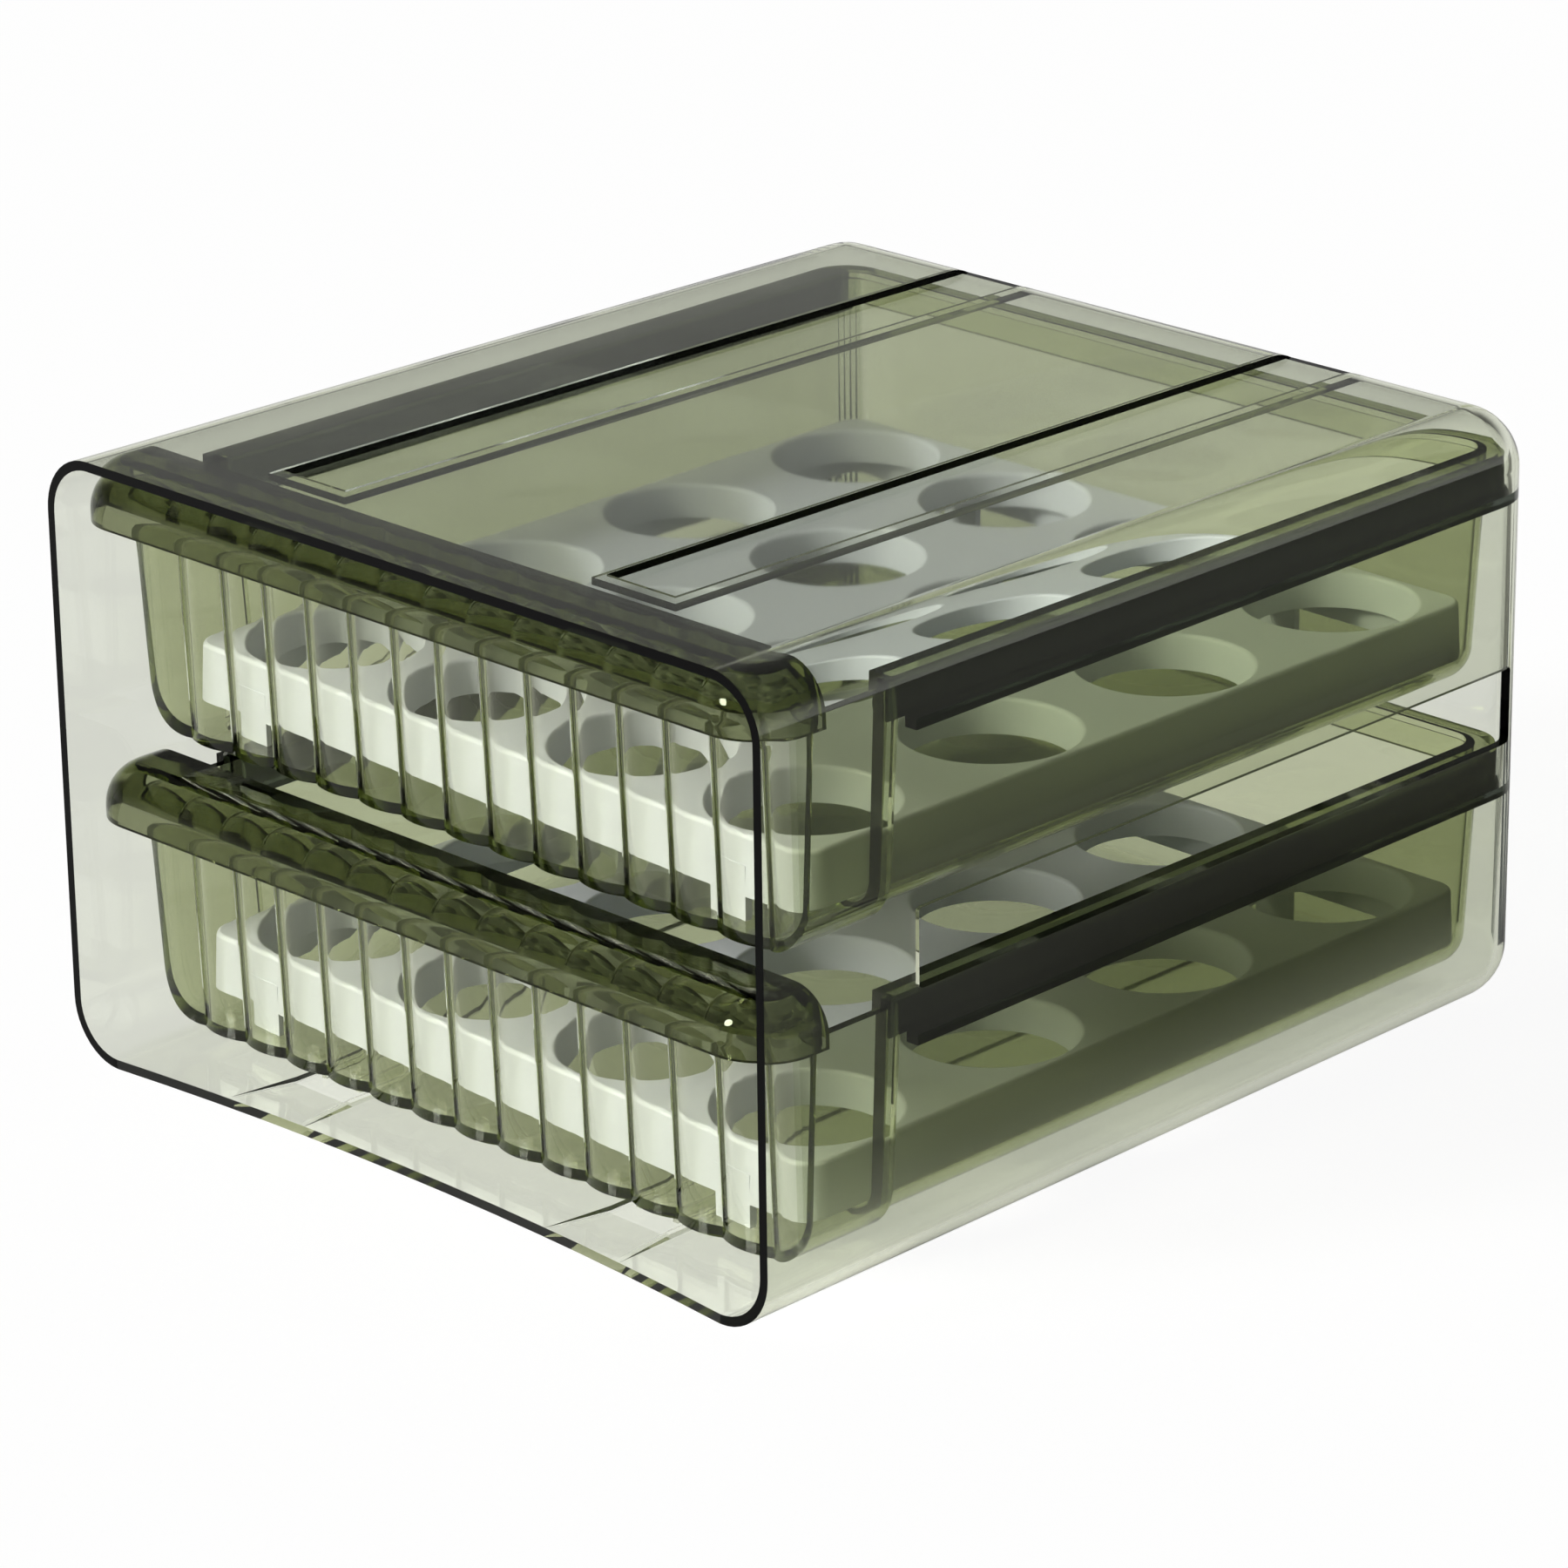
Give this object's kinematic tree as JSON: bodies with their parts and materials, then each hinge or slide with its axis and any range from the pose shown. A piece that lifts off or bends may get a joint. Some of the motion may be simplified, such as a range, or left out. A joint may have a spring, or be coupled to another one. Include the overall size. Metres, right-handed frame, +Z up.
{
  "type": "egg storage drawer",
  "caption": "Clear two-tier egg storage box with a tinted fluted pull-out drawer in each tier and a white tray of round egg holes inside each drawer.",
  "frame": {"origin": "centre of the bounding box at its base, level with the undersides of the two runners", "axes": "+X to the right seen from the drawers' front, +Y from the front to the closed rear, +Z up"},
  "size_m": [0.236, 0.268, 0.1552],
  "materials": {
    "clear_plastic": "clear, polished moulding",
    "tinted_plastic": "see-through olive tint, polished moulding",
    "tray_plastic": "satin white moulding"
  },
  "bodies": {
    "casing": {"casing": "clear_plastic"},
    "upper_drawer": {"upper_drawer": "tinted_plastic"},
    "lower_drawer": {"lower_drawer": "tinted_plastic"},
    "upper_egg_tray": {"upper_egg_tray": "tray_plastic"},
    "lower_egg_tray": {"lower_egg_tray": "tray_plastic"}
  },
  "joints": [
    {"name": "upper_drawer_slide", "type": "slide", "parent": "casing", "child": "upper_drawer", "axis": [0, -1, 0], "range_m": [0, 0.165]},
    {"name": "lower_drawer_slide", "type": "slide", "parent": "casing", "child": "lower_drawer", "axis": [0, -1, 0], "range_m": [0, 0.165]},
    {"name": "upper_tray_lift", "type": "slide", "parent": "upper_drawer", "child": "upper_egg_tray", "axis": [0, 0, 1], "range_m": [0, 0.03]},
    {"name": "lower_tray_lift", "type": "slide", "parent": "lower_drawer", "child": "lower_egg_tray", "axis": [0, 0, 1], "range_m": [0, 0.03]}
  ]
}
